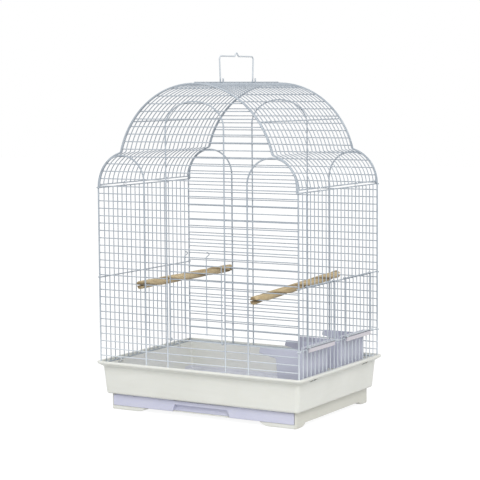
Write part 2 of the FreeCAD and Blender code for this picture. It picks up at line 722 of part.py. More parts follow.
# The tray: tapered wall, sloping lip, a ledge for the wires, a shelf over the drawer
# and a skirt with runners, four feet and slots for the clips.
def base_tray():
    body = new_body("base_tray")
    wide = "cage_width / 2"
    deep = "cage_depth / 2"

    def ring(name, level, change, corner):
        x0, x1 = both(wide + change)
        y0, y1 = both(deep + change)
        return plan_sketch(body, name, level, x0, x1, y0, y1, corner)

    lip_low = "rim_height - lip_edge - lip_slope"
    wall_low = ring("wall_foot", "shelf_level", " - wall_step_low", "wall_corner")
    wall_high = ring("wall_head", lip_low, " - wall_step_top", "wall_corner")
    loft(body, "AdditiveLoft", "wall", wall_low, wall_high)
    slope_low = ring("slope_foot", lip_low, " - wall_step_top", "wall_corner")
    slope_high = ring("slope_head", "rim_height - lip_edge", " + lip_reach", "lip_corner")
    loft(body, "AdditiveLoft", "slope", slope_low, slope_high)
    lip = ring("lip_plan", "rim_height - lip_edge", " + lip_reach", "lip_corner")
    extrude(body, "Pad", "lip", lip, "lip_edge")
    inner = "cage_width / 2 - seat_width - cut_overrun"
    outer = "cage_width / 2 + lip_reach + cut_overrun"
    top = "rim_height - seat_depth - slot_drop"
    for name, start in (("right", outer), ("left", "-(" + inner + ")")):
        plans = new_sketch(body, "slots_" + name + "_plan", "YZ_Plane", start)
        for side in (-1, 1):
            middle = str(side * CLIP_BAYS) + " * bar_pitch"
            corners = [(middle + " - slot_length / 2", top + " - slot_height"),
                       (middle + " + slot_length / 2", top + " - slot_height"),
                       (middle + " + slot_length / 2", top), (middle + " - slot_length / 2", top)]
            draw_outline(plans, corners)
        extrude(body, "Pocket", "slots_" + name, plans, "lip_reach + seat_width + 2 * cut_overrun")
    lip_x = half_width + mm.lip_reach
    lip_y = half_depth + mm.lip_reach
    wall_x = half_width - mm.wall_step_low
    wall_y = half_depth - mm.wall_step_low
    round_edges(body, "lip_round", "min(lip_round; lip_edge * 0.45)",
                lambda spot: on_rim(spot, rim, lip_x, lip_y) or on_rim(spot, rim - mm.lip_edge, lip_x, lip_y))
    round_edges(body, "wall_round", "min(wall_round; (skirt_step - wall_step_low) * 0.9)",
                lambda spot: on_rim(spot, mm.shelf_level, wall_x, wall_y))
    skirt = ring("skirt_plan", "skirt_level", " - skirt_step", "skirt_corner")
    extrude(body, "Pad", "skirt", skirt, "shelf_level - skirt_level")

    seat = ring("seat_plan", "rim_height", " + frame_wire / 2 + seat_gap", "frame_wire / 2 + seat_gap")
    extrude(body, "Pocket", "seat", seat, "seat_depth")
    bath_high = ring("bath_head", "rim_height - seat_depth", " - seat_width", "wall_corner / 2")
    bath_low = ring("bath_foot", "shelf_level + shelf_thickness",
                    " - wall_step_low - tray_wall", "wall_corner - tray_wall")
    loft(body, "SubtractiveLoft", "bath", bath_low, bath_high)
    mouth = ring("mouth_plan", "shelf_level + shelf_thickness",
                 " - skirt_step - tray_wall - shelf_reach", "skirt_corner")
    extrude(body, "Pocket", "mouth", mouth, "shelf_thickness + cut_overrun")
    hollow = ring("hollow_plan", "shelf_level", " - skirt_step - tray_wall", "skirt_corner - tray_wall")
    extrude(body, "Pocket", "hollow", hollow, "shelf_level - skirt_level - runner_thickness")
    floor = ring("floor_plan", "skirt_level + runner_thickness",
                 " - skirt_step - tray_wall - runner_width", "skirt_corner")
    extrude(body, "Pocket", "floor", floor, "runner_thickness + cut_overrun")

    gate_x0, gate_x1 = both("drawer_half + drawer_gap")
    gate_low = "skirt_level - cut_overrun"
    gate_high = "shelf_level - bridge_height"
    gate = outline_sketch(body, "gate_plan", "XZ_Plane", "cage_depth / 2 - skirt_step + cut_overrun",
                          [(gate_x0, gate_low), (gate_x1, gate_low),
                           (gate_x1, gate_high), (gate_x0, gate_high)])
    extrude(body, "Pocket", "gate", gate, "tray_wall + 2 * cut_overrun")

    for hand in (-1, 1):
        for side in (-1, 1):
            foot(body, hand, side)
    return body


# The waste drawer: an open box behind a front with a finger pull under its top edge.
def drawer():
    body = new_body("drawer")
    front = "-(cage_depth / 2 - skirt_step + drawer_proud)"
    back_of_front = front + " + drawer_front"
    back = "cage_depth / 2 - skirt_step - tray_wall - drawer_back_gap"
    base = "skirt_level + runner_thickness + drawer_play"
    tall = "shelf_level - drawer_headroom - (" + base + ")"
    face_x0, face_x1 = both("drawer_half")
    face_low = "skirt_level + drawer_skirt_gap"
    corner = "min(face_round; drawer_front * 0.4)"
    face = plan_sketch(body, "face_plan", face_low, face_x0, face_x1, front, back_of_front, corner)
    extrude(body, "Pad", "face", face, "shelf_level - bridge_height - drawer_gap - (" + face_low + ")")
    face_levels = (mm.skirt_level + mm.drawer_skirt_gap, mm.shelf_level - mm.bridge_height - mm.drawer_gap)
    round_edges(body, "face_round", corner + " * 0.8",
                lambda spot: min(abs(spot.z - level) for level in face_levels) < mm.weld_sink)
    x0, x1 = both("drawer_half - drawer_gap")
    box = plan_sketch(body, "box_plan", base, x0, x1, back_of_front + " - drawer_wall / 2", back, "drawer_wall * 2")
    extrude(body, "Pad", "box", box, tall)
    in_x0, in_x1 = both("drawer_half - drawer_gap - drawer_wall")
    inside = plan_sketch(body, "inside_plan", "shelf_level - drawer_headroom", in_x0, in_x1,
                         back_of_front, back + " - drawer_wall", "drawer_wall")
    extrude(body, "Pocket", "inside", inside, tall + " - drawer_wall")
    pull_x0, pull_x1 = both("pull_half + drawer_wall")
    pocket_back = front + " + pull_depth + drawer_wall"
    housing = plan_sketch(body, "housing_plan", base, pull_x0, pull_x1, back_of_front + " - drawer_wall / 2",
                          pocket_back, "drawer_wall / 2")
    extrude(body, "Pad", "housing", housing, tall)
    pull_high = "shelf_level - bridge_height - drawer_gap - pull_lip"
    low_x0, low_x1 = both("pull_half")
    high_x0, high_x1 = both("pull_half - pull_narrowing")
    pull = outline_sketch(body, "pull_plan", "XZ_Plane", "-(" + front + ") + cut_overrun",
                          [(low_x0, face_low + " - cut_overrun"), (low_x1, face_low + " - cut_overrun"),
                           (high_x1, pull_high), (high_x0, pull_high)])
    extrude(body, "Pocket", "pull", pull, "pull_depth + cut_overrun")
    return body


# A feeder cup, drawn about its own middle and moved to its opening: a trough open
# towards the cage, ends that reach on as wings, and a hook over the wall's rail.
def feeder_cup(name, side):
    body = new_body(name)
    half = "bar_pitch * " + str((BARS_IN_FEEDER_DOOR + 1) / 2) + " - bar_wire / 2 - cup_side_play"
    outer = "cage_width / 2 - seat_width - cup_inset"
    neck = outer + " - cup_depth"
    tip = neck + " - wing_reach"
    low = "rim_height + cup_floor_rise"
    top = "rim_height + wing_top_rise"
    shell = [(outer, low), (neck + " + cup_draft", low), (neck, "rim_height + cup_neck_rise"),
             (tip, "rim_height + wing_low_rise"), (tip + " + wing_lean", top), (outer, top)]
    plan = outline_sketch(body, "shell_plan", "XZ_Plane", "-(" + half + ")", shell)
    extrude(body, "Pad", "shell", plan, "2 * (" + half + ")")
    round_edges(body, "shell_round", "min(cup_round; cup_wall * 0.9)", lambda spot: True)
    wall = " + cup_wall"
    over = top + " + cut_overrun"
    front_edge = "rim_height + cup_neck_rise - cup_wall / 2"
    room = [(outer + " - cup_wall", low + wall), (neck + " + cup_draft" + wall, low + wall),
            (neck + wall, front_edge), (tip + " - cut_overrun", front_edge), (tip + " - cut_overrun", over),
            (outer + " - cup_wall", over)]
    plan = outline_sketch(body, "room_plan", "XZ_Plane", half + " - cup_wall", room)
    extrude(body, "Pocket", "room", plan, "2 * (" + half + " - cup_wall)")
    web = "rim_height + feeder_rail_rise + rail_wire / 2 + hook_play"
    lip = "cage_width / 2 - frame_wire / 2 - rail_wire / 2 + bar_wire + wire_play + rail_wire / 2"
    root = top + " - 2 * cup_wall"
    hook = [(outer + " - cup_wall", root), (outer, root), (outer, web), (lip, web), (lip, web + " - hook_drop"),
            (lip + wall, web + " - hook_drop"), (lip + wall, web + wall), (outer + " - cup_wall", web + wall)]
    plan = outline_sketch(body, "hook_plan", "XZ_Plane", "-(" + half + ")", hook)
    extrude(body, "Pad", "hook", plan, "2 * (" + half + ")")
    middle = formula(str(side * feeder_middle() / mm.bar_pitch) + " * bar_pitch")
    body.setExpression("Placement.Base.y", middle)
    return body


# A dowel with a level slot in each end that grips one bar of the front panel and one
# of the back panel.
def perch(name, hand, clear, rows):
    offset = hand * (mm.side_leg_half + frame_r + clear + mm.perch_dowel / 2)
    front, back = (row_height(row) for row in rows)
    length = 2 * (half_depth + frame_r + mm.perch_overhang)
    dowel = doc.addObject("Part::Cylinder", name + "_dowel")
    dowel.setExpression("Radius", formula("perch_dowel / 2"))
    dowel.setExpression("Height", formula("cage_depth + frame_wire + 2 * perch_overhang"))
    dowel.setExpression("Placement.Base.z", formula("-(cage_depth + frame_wire) / 2 - perch_overhang"))
    cutters = []
    for end, place in (("front", "-(cage_depth + frame_wire) / 2 - perch_overhang - cut_overrun"),
                       ("back", "(cage_depth + frame_wire) / 2 + perch_overhang - perch_slot_depth")):
        cutter = doc.addObject("Part::Box", name + "_slot_" + end)
        cutter.setExpression("Length", formula("perch_dowel + 2 * cut_overrun"))
        cutter.setExpression("Width", formula("perch_slot_height"))
        cutter.setExpression("Height", formula("perch_slot_depth + cut_overrun"))
        cutter.setExpression("Placement.Base.x", formula("-perch_dowel / 2 - cut_overrun"))
        cutter.setExpression("Placement.Base.y", formula("-perch_slot_height / 2"))
        cutter.setExpression("Placement.Base.z", formula(place))
        cutters.append(cutter)
    slots = doc.addObject("Part::MultiFuse", name + "_slots")
    slots.Shapes = cutters
    piece = doc.addObject("Part::Cut", name)
    piece.Base = dowel
    piece.Tool = slots
    piece.Label = name
    tilt = math.degrees(math.atan2(back - front, 2 * row_plane))
    piece.Placement = FreeCAD.Placement(point(offset, 0, (front + back) / 2),
                                        FreeCAD.Rotation(X_AXIS, tilt - 90))
    if length <= 2 * mm.perch_slot_depth:
        raise RuntimeError("the slots of " + name + " meet")
    return piece


pieces = [
    base_tray(),
    drawer(),
    wire_panel("front_panel", -1, True),
    wire_panel("back_panel", 1, False),
    side_panel("left_side_panel", -1, False),
    side_panel("right_side_panel", 1, True),
    roof_panel(),
    front_door(),
    feeder_cup("feeder_cup_front", -1),
    feeder_cup("feeder_cup_rear", 1),
    feeder_door("feeder_door_front", -1),
    feeder_door("feeder_door_rear", 1),
    perch("perch_left", -1, mm.left_perch_clear, LEFT_PERCH_ROWS),
    perch("perch_right", 1, mm.right_perch_clear, RIGHT_PERCH_ROWS),
    carry_handle(),
]
for hand_name, hand in (("left", -1), ("right", 1)):
    for side_name, side in (("front", -1), ("rear", 1)):
        pieces.append(eave_clip("eave_clip_" + hand_name + "_" + side_name, hand, side))
        pieces.append(tray_clip("tray_clip_" + hand_name + "_" + side_name, hand, side))

doc.recompute()
for item in doc.Objects:
    if "Invalid" in item.State or "Error" in item.State:
        raise RuntimeError(item.Label + " failed: " + ", ".join(item.State))
for piece in pieces:
    if piece.Shape.isNull() or not piece.Shape.isValid() or not piece.Shape.Solids:
        raise RuntimeError(piece.Label + " has no sound shape")
for piece in pieces:
    piece.Shape.exportStep("parts/" + piece.Label + ".step")
    box = piece.Shape.BoundBox
    print("%-22s %3d solids  %9.0f mm3  x %7.1f %7.1f  y %7.1f %7.1f  z %7.1f %7.1f" % (
        piece.Label, len(piece.Shape.Solids), piece.Shape.Volume,
        box.XMin, box.XMax, box.YMin, box.YMax, box.ZMin, box.ZMax))
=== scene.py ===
import math
import random

import bmesh
import bpy
from mathutils import Matrix, Vector


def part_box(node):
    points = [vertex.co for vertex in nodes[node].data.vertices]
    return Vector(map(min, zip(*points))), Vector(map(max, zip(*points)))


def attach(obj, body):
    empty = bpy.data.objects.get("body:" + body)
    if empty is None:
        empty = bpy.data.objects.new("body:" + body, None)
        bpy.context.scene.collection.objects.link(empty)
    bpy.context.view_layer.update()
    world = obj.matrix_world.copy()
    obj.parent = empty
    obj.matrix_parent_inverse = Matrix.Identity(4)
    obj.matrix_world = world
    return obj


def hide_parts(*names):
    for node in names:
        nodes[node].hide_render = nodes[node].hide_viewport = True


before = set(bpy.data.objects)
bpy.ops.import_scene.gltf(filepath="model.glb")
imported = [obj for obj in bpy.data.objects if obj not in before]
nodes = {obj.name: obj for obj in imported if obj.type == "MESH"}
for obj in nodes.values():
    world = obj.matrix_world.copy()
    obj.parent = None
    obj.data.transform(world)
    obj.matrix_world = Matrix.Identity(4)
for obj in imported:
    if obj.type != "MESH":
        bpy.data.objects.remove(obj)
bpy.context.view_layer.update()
random.seed(11)


def face(node, corner, axis):
    """A face of a CAD node's box, to a tenth of a millimetre: corner 0 is low, 1 is high."""
    return round(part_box(node)[corner]["xyz".index(axis)], 4)


# Radii of the wires, and how deep a weld presses one into the next, in metres.
BAR_R = 0.001
RAIL_R = 0.0012
FRAME_R = 0.0016
WELD_SINK = 0.00004

# Planes and levels of the wires, from the faces of the CAD nodes.
HALF_WIDTH = face("front_panel", 1, "x") - FRAME_R
HALF_DEPTH = -face("front_panel", 0, "y") - FRAME_R
ROW_PLANE = HALF_DEPTH - FRAME_R - BAR_R + WELD_SINK
RAIL_PLANE = HALF_WIDTH - FRAME_R - RAIL_R - WELD_SINK
RIM = face("base_tray", 1, "z")
SEAT = face("front_panel", 0, "z")
EAVE = face("right_side_panel", 1, "z") - RAIL_R
RIDGE = RIM + 0.549
MID_RAIL = RIM + 0.1682
FEEDER_RAIL = RIM + 0.051

# Level bars of the front and back, and upright bars and hoops on each side of the middle.
ROW_PITCH = 0.0147
FIRST_ROW = 0.1091
ROW_COUNT = 37
BAR_PITCH = 0.0155
BARS_TO_A_SIDE = 10

# The outline: shoulders that rise from the eaves to the notches, and the dome between them.
NOTCH = 0.5135
NOTCH_HALF = 0.1705
SHOULDER_R = 0.0715
SHOULDER_X = HALF_WIDTH - SHOULDER_R
DOME_R = (NOTCH_HALF ** 2 + (RIDGE - NOTCH) ** 2) / (2 * (RIDGE - NOTCH))
DOME_Z = RIDGE - DOME_R

# The roof's long rails, by height over the eaves and by distance from the middle, and the
# gap between its last hoops and the level bars.
LOW_RAIL_RISE = 0.006
DOME_RAIL_X = 0.1415
HOOP_GAP = 0.0004

# The arches inside the outline.
SIDE_ARCH_OUTER = HALF_WIDTH - 2 * FRAME_R
SIDE_ARCH_INNER = 0.116
SIDE_ARCH_DROP = 0.0055
CENTRE_ARCH_HALF = 0.0655
CENTRE_ARCH_SPRING = RIM + 0.465
CENTRE_ARCH_TOP = RIM + 0.515

# Radii of the weld beads.
FRAME_BEAD = 0.00135
ARCH_BEAD = 0.00130
RAIL_BEAD = 0.00125

# Shape of the perches: two spiral grooves with a shallow hollow beside each, rounded ends
# and a slot in each end. Shares are of the dowel's radius, spreads are in radians.
DOWEL_AROUND = 64
DOWEL_ALONG = 220
GROOVE_TURN = 0.190
GROOVE_SHARE, GROOVE_SPREAD = 0.21, 0.30
HOLLOW_SHARE, HOLLOW_SPREAD, HOLLOW_BESIDE = 0.05, 0.35, 0.45
TOOL_WAVE, WAVES_AROUND, WAVES_ALONG = 0.0001, 3, 40
DOWEL_SHY = 0.0001
END_ROUND = 0.0012
END_ROUND_DEPTH = 0.8
SLOT_LENGTH, SLOT_HEIGHT, SLOT_ROUND, SLOT_PAST_END = 0.0155, 0.0036, 0.0015, 0.0006
# Depth below the dowel's round, as a share of its radius, at which the perches' painted shade is full.
SHADE_DEPTH_SHARE = 0.25

# The camera: the photograph's viewpoint, fitted to its bars and tray.
CAMERA_AZIMUTH, CAMERA_ELEVATION, CAMERA_ROLL = 0.537902, 0.0943102, -0.0077993
CAMERA_AIM, CAMERA_AWAY, CAMERA_LENS = (0.00147, 0.0, 0.33529), 3.2213, 120.894

LAMP_AIM = (0, 0, 0.3)
LAMP_SIZE = 1.8
PATCH_EDGE = 0.0003


def set_camera():
    """The camera at the photograph's viewpoint."""
    back = Vector((math.sin(CAMERA_AZIMUTH) * math.cos(CAMERA_ELEVATION),
                   -math.cos(CAMERA_AZIMUTH) * math.cos(CAMERA_ELEVATION), math.sin(CAMERA_ELEVATION)))
    right = Vector((math.cos(CAMERA_AZIMUTH), math.sin(CAMERA_AZIMUTH), 0.0))
    up = back.cross(right)
    turned_right = right * math.cos(CAMERA_ROLL) + up * math.sin(CAMERA_ROLL)
    turned_up = up * math.cos(CAMERA_ROLL) - right * math.sin(CAMERA_ROLL)
    data = bpy.data.cameras.new("camera")
    data.sensor_width = 36.0
    data.lens = CAMERA_LENS
    data.clip_start = 0.05
    data.clip_end = 60.0
    camera = bpy.data.objects.new("camera", data)
    bpy.context.scene.collection.objects.link(camera)
    turn = Matrix((turned_right, turned_up, back)).transposed()
    camera.matrix_world = Matrix.Translation(Vector(CAMERA_AIM) + back * CAMERA_AWAY) @ turn.to_4x4()
    bpy.context.scene.camera = camera


class Recipe:
    """Builds a material's nodes. Texture space is the object's own metres."""

    def __init__(self, name):
        self.material = bpy.data.materials.new(name)
        self.material.use_nodes = True
        self.tree = self.material.node_tree
        self.shader = self.tree.nodes["Principled BSDF"]
        self.space = self.tree.nodes.new("ShaderNodeTexCoord").outputs["Object"]

    def node(self, kind, **settings):
        made = self.tree.nodes.new(kind)
        for key, value in settings.items():
            setattr(made, key, value)
        return made

    def link(self, source, target):
        self.tree.links.new(source, target)

    def placed(self, scale, turn=(0, 0, 0)):
        """The texture space, scaled and turned."""
        mapping = self.node("ShaderNodeMapping")
        mapping.inputs["Scale"].default_value = scale
        mapping.inputs["Rotation"].default_value = turn
        self.link(self.space, mapping.inputs["Vector"])
        return mapping.outputs["Vector"]

    def along(self, axis):
        """The place along one of the object's axes, or for |X| or |Y| the distance from its middle."""
        split = self.node("ShaderNodeSeparateXYZ")
        self.link(self.space, split.inputs[0])
        place = split.outputs[axis.strip("|")]
        return self.combine("ABSOLUTE", place) if "|" in axis else place

    def combine(self, operation, *values):
        made = self.node("ShaderNodeMath", operation=operation)
        for value, socket in zip(values, made.inputs):
            if isinstance(value, bpy.types.NodeSocket):
                self.link(value, socket)
            else:
                socket.default_value = value
        return made.outputs[0]

    def inside(self, limits):
        """A mask that is 1 between the limits and falls to 0 over a soft edge."""
        mask = None
        for axis, low, high in limits:
            place = self.along(axis)
            for limit, start, end in ((low, 0.0, 1.0), (high, 1.0, 0.0)):
                step = self.remap(place, limit - PATCH_EDGE, limit + PATCH_EDGE, start, end)
                mask = self.combine("MULTIPLY", mask, step) if mask else step
        return mask

    def noise(self, scale, detail=2.0, rough=0.5, distortion=0.0, vector=None):
        made = self.node("ShaderNodeTexNoise")
        made.inputs["Scale"].default_value = scale
        made.inputs["Detail"].default_value = detail
        made.inputs["Roughness"].default_value = rough
        made.inputs["Distortion"].default_value = distortion
        self.link(vector or self.space, made.inputs["Vector"])
        return made.outputs["Fac"]

    def remap(self, value, low, high, to_low, to_high):
        made = self.node("ShaderNodeMapRange")
        for key, amount in (("From Min", low), ("From Max", high), ("To Min", to_low), ("To Max", to_high)):
            made.inputs[key].default_value = amount
        self.link(value, made.inputs["Value"])
        return made.outputs["Result"]

    def mix(self, factor, first, second):
        """The second colour over the first, where either may be a socket or three numbers."""
        made = self.node("ShaderNodeMix", data_type="RGBA")
        self.link(factor, made.inputs[0])
        for socket, value in ((made.inputs[6], first), (made.inputs[7], second)):
            if isinstance(value, bpy.types.NodeSocket):
                self.link(value, socket)
            else:
                socket.default_value = (*value, 1.0)
        return made.outputs[2]

    def bump(self, height, strength, distance, under=None):
        made = self.node("ShaderNodeBump")
        made.inputs["Strength"].default_value = strength
        made.inputs["Distance"].default_value = distance
        self.link(height, made.inputs["Height"])
        if under:
            self.link(under, made.inputs["Normal"])
        return made.outputs["Normal"]

    def finish(self, **sockets):
        """Sets the shader's sockets, named with underscores for spaces, and gives the material."""
        for key, value in sockets.items():
            socket = self.shader.inputs[key.replace("_", " ")]
            if isinstance(value, bpy.types.NodeSocket):
                self.link(value, socket)
            else:
                socket.default_value = value
        return self.material


def wire_coat():
    """Glossy powder coat, pale blue-grey, a little uneven and orange-peeled.

    It is paler on the handle, and it has painted light near the tray on the front and the right, where the
    wires are painted paler."""
    r = Recipe("wire_coat")
    cloudy = r.noise(38.0, 3.0, 0.55)
    tone = r.mix(r.remap(cloudy, 0.35, 0.65, 0.0, 1.0), (0.350, 0.392, 0.442), (0.420, 0.464, 0.512))
    speck = r.remap(r.noise(420.0, 1.0), 0.70, 0.76, 0.0, 0.55)
    tone = r.mix(speck, tone, (0.29, 0.31, 0.34))
    # Painted light: low on the front and the right, over the tray, the wires are painted paler.
    front = r.remap(r.along("Y"), -0.158, -0.150, 1.0, 0.0)
    right = r.remap(r.along("X"), 0.200, 0.215, 0.0, 1.0)
    low = r.remap(r.along("Z"), 0.110, 0.190, 0.85, 0.0)
    painted_light_by_tray = r.combine("MULTIPLY", low, r.combine("MAXIMUM", front, right))
    tone = r.mix(painted_light_by_tray, tone, (0.680, 0.725, 0.770))
    on_handle = r.remap(r.along("Z"), 0.652, 0.658, 0.0, 0.6)
    tone = r.mix(on_handle, tone, (0.660, 0.700, 0.740))
    peel = r.noise(750.0, 2.0, 0.6)
    normal = r.bump(peel, 0.35, 0.00005)
    gloss = r.remap(r.noise(160.0, 3.0), 0.3, 0.7, 0.24, 0.42)
    return r.finish(Base_Color=tone, Roughness=gloss, Normal=normal, Coat_Weight=0.25, Coat_Roughness=0.12)


def moulded(name, low, high, grime, soft, radius, patches=()):
    """Injection-moulded plastic: faint flow marks, a fine grain and rub marks.

    Each patch is a share, a tone and the limits between which it tints the plastic."""
    r = Recipe(name)
    cloudy = r.noise(9.0, 4.0, 0.55)
    tone = r.mix(r.remap(cloudy, 0.3, 0.7, 0.0, 1.0), low, high)
    flow = r.noise(5.0, 3.0, 0.6, 1.2, r.placed((1.0, 1.0, 7.0)))
    tone = r.mix(r.remap(flow, 0.45, 0.75, 0.0, 0.22), tone, grime)
    for share, tint, limits in patches:
        tone = r.mix(r.remap(r.inside(limits), 0.0, 1.0, 0.0, share), tone, tint)
    scuff = r.noise(26.0, 5.0, 0.7, 0.4, r.placed((1.0, 1.0, 16.0), (0.3, 0.2, 0.5)))
    scuff = r.remap(scuff, 0.63, 0.72, 0.0, 1.0)
    patchy = r.remap(r.noise(60.0, 3.0), 0.3, 0.7, 0.30, 0.42)
    rough = r.combine("MULTIPLY_ADD", scuff, 0.12, patchy)
    grain = r.bump(r.noise(1500.0, 2.0, 0.6), 0.30, 0.00004)
    wavy = r.bump(r.noise(16.0, 2.0, 0.5), 0.25, 0.0006, grain)
    normal = r.bump(scuff, 0.12, 0.00003, wavy)
    return r.finish(Base_Color=tone, Roughness=rough, Normal=normal, Subsurface_Weight=soft,
                    Subsurface_Radius=radius, Subsurface_Scale=0.004)


def tray_plastic():
    """Cream plastic with painted shade in the clip slots and on the skirt's sides, and a lavender back foot.
    """
    # Painted shade: the clip slots are painted dark olive.
    slot_painted_shade = (0.85, (0.130, 0.130, 0.095),
                 (("|X|", 0.2208, 0.2330), ("|Y|", 0.0975, 0.1195), ("Z", 0.0862, 0.0908)))
    # Painted shade: the skirt's sides, below the ledge, are painted darker and warmer.
    skirt_painted_shade = (0.75, (0.640, 0.630, 0.560),
                  (("|X|", 0.2060, 0.2180), ("|Y|", 0.0, 0.1500), ("Z", 0.0, 0.0335)))
    back_foot = (0.65, (0.650, 0.665, 0.770),
                 (("|X|", 0.0, 0.2170), ("Y", 0.1300, 0.1580), ("Z", 0.0330, 0.0415)))
    return moulded("tray_plastic", (0.735, 0.740, 0.688), (0.785, 0.788, 0.742), (0.64, 0.635, 0.57), 0.06,
                   (1.0, 0.9, 0.7), (slot_painted_shade, skirt_painted_shade, back_foot))


def lavender_plastic():
    return moulded("lavender_plastic", (0.578, 0.588, 0.730), (0.652, 0.656, 0.778), (0.51, 0.52, 0.64), 0.14,
                   (0.8, 0.8, 1.0))


def cup_plastic():
    """Greyer lavender, with painted shade on the wings that face each other between the cups, rubbed hooks,
    and a painted shadow along the top of each hook.
    """
    # Painted shade: the wings between the two cups are painted darker.
    wings_painted_shade = (0.35, (0.230, 0.225, 0.270),
                    (("X", 0.1100, 0.1560), ("Y", -0.0360, 0.0360), ("Z", 0.1265, 0.1500)))
    rubbed_hook = (0.70, (0.660, 0.610, 0.630), (("X", 0.2242, 0.2400), ("Z", 0.1300, 0.1512)))
    # Painted shadow: the top of each hook's outer face, under the rail, is painted dark.
    hook_painted_shadow = (0.80, (0.120, 0.120, 0.150), (("X", 0.2180, 0.2400), ("Z", 0.1512, 0.1600)))
    return moulded("cup_lavender", (0.500, 0.512, 0.612), (0.570, 0.582, 0.682), (0.44, 0.45, 0.54), 0.10,
                   (0.8, 0.8, 1.0), (wings_painted_shade, rubbed_hook, hook_painted_shadow))


def perch_wood():
    """Turned softwood with its grain along the perch, darker pores, and painted shade in its grooves, slots
    and ends, darkest where deepest.
    """
    r = Recipe("perch_wood")
    fibre = r.noise(1.0, 5.0, 0.6, 0.5, r.placed((150.0, 9.0, 150.0)))
    tone = r.mix(r.remap(fibre, 0.32, 0.68, 0.0, 1.0), (0.360, 0.250, 0.120), (0.640, 0.500, 0.285))
    patch = r.noise(14.0, 3.0)
    tone = r.mix(r.remap(patch, 0.35, 0.75, 0.0, 0.5), tone, (0.740, 0.615, 0.395))
    pores = r.noise(1.0, 3.0, 0.7, 0.0, r.placed((1500.0, 60.0, 1500.0)))
    tone = r.mix(r.remap(pores, 0.58, 0.72, 0.0, 0.65), tone, (0.235, 0.140, 0.062))
    # Painted shade: the wood is painted darker the deeper a point lies in the grooves, slots and ends.
    hollow = r.node("ShaderNodeAttribute", attribute_name="hollow").outputs["Fac"]
    tone = r.mix(r.remap(hollow, 0.05, 0.9, 0.0, 0.85), tone, (0.130, 0.085, 0.036))
    normal = r.bump(pores, 0.5, 0.00015)
    normal = r.bump(fibre, 0.35, 0.0003, normal)
    gloss = r.remap(fibre, 0.3, 0.7, 0.62, 0.78)
    return r.finish(Base_Color=tone, Roughness=gloss, Normal=normal)


def spring_wire():
    """Zinc-plated spring wire, faintly drawn along its length."""
    r = Recipe("spring_wire")
    drawn = r.noise(1.0, 4.0, 0.6, 0.0, r.placed((900.0, 900.0, 120.0)))
    tone = r.mix(r.remap(drawn, 0.3, 0.7, 0.0, 1.0), (0.66, 0.69, 0.73), (0.82, 0.84, 0.87))
    normal = r.bump(drawn, 0.25, 0.00005)
    gloss = r.remap(r.noise(300.0, 3.0), 0.3, 0.7, 0.22, 0.40)
    return r.finish(Base_Color=tone, Metallic=0.35, Roughness=gloss, Normal=normal)


def seen_rays(tree):
    """1 for the rays that see the backdrop itself: camera, glossy and transmission rays."""
    path = tree.nodes.new("ShaderNodeLightPath")
    seen = path.outputs["Is Camera Ray"]
    for kind in ("Is Glossy Ray", "Is Transmission Ray"):
        either = tree.nodes.new("ShaderNodeMath")
        either.operation = "MAXIMUM"
        tree.links.new(seen, either.inputs[0])
        tree.links.new(path.outputs[kind], either.inputs[1])
        seen = either.outputs[0]
    return seen


def blend_shaders(tree, kind, share, first, second):
    """Puts the output node of that kind behind a blend of two shaders."""
    blend = tree.nodes.new("ShaderNodeMixShader")
    tree.links.new(share, blend.inputs[0])
    tree.links.new(first.outputs[0], blend.inputs[1])
    tree.links.new(second.outputs[0], blend.inputs[2])
    tree.links.new(blend.outputs[0], tree.nodes.new(kind).inputs[0])


def make_stage():
    """A wide pale floor that mostly glows white to the camera and keeps the object's shadow."""
    mesh = bpy.data.meshes.new("floor")
    reach = 9.0
    mesh.from_pydata([(-reach, -reach, 0), (reach, -reach, 0), (reach, reach, 0), (-reach, reach, 0)], [],
                     [(0, 1, 2, 3)])
    floor = bpy.data.objects.new("floor", mesh)
    floor.location.z = -0.0004
    bpy.context.scene.collection.objects.link(floor)
    material = bpy.data.materials.new("floor")
    material.use_nodes = True
    tree = material.node_tree
    tree.nodes.clear()
    plain = tree.nodes.new("ShaderNodeBsdfDiffuse")
    plain.inputs["Color"].default_value = (0.66, 0.66, 0.66, 1.0)
    glow = tree.nodes.new("ShaderNodeEmission")
    glow.inputs["Strength"].default_value = 1.22
    part = tree.nodes.new("ShaderNodeMath")
    part.operation = "MULTIPLY"
    part.inputs[1].default_value = 0.75
    tree.links.new(seen_rays(tree), part.inputs[0])
    blend_shaders(tree, "ShaderNodeOutputMaterial", part.outputs[0], plain, glow)
    mesh.materials.append(material)


def make_world():
    """Soft fill light, white to the rays that see it."""
    world = bpy.data.worlds.new("studio")
    bpy.context.scene.world = world
    world.use_nodes = True
    tree = world.node_tree
    tree.nodes.clear()
    fill = tree.nodes.new("ShaderNodeBackground")
    fill.inputs["Color"].default_value = (0.97, 0.985, 1.0, 1.0)
    fill.inputs["Strength"].default_value = 0.79
    white = tree.nodes.new("ShaderNodeBackground")
    white.inputs["Strength"].default_value = 1.0
    white.inputs["Color"].default_value = (1.0, 1.0, 1.0, 1.0)
    blend_shaders(tree, "ShaderNodeOutputWorld", seen_rays(tree), fill, white)


def make_light(name, place, power, tint):
    data = bpy.data.lights.new(name, "AREA")
    data.shape = "DISK"
    data.size = LAMP_SIZE
    data.energy = power
    data.color = tint
    lamp = bpy.data.objects.new(name, data)
    bpy.context.scene.collection.objects.link(lamp)
    lamp.location = place
    lamp.rotation_euler = (Vector(LAMP_AIM) - Vector(place)).to_track_quat("-Z", "Y").to_euler()


def mesh_of(name, bm):
    mesh = bpy.data.meshes.new(name)
    bm.to_mesh(mesh)
    bm.free()
    return mesh


def add_object(name, mesh):
    made = bpy.data.objects.new(name, mesh)
    bpy.context.scene.collection.objects.link(made)
    return made


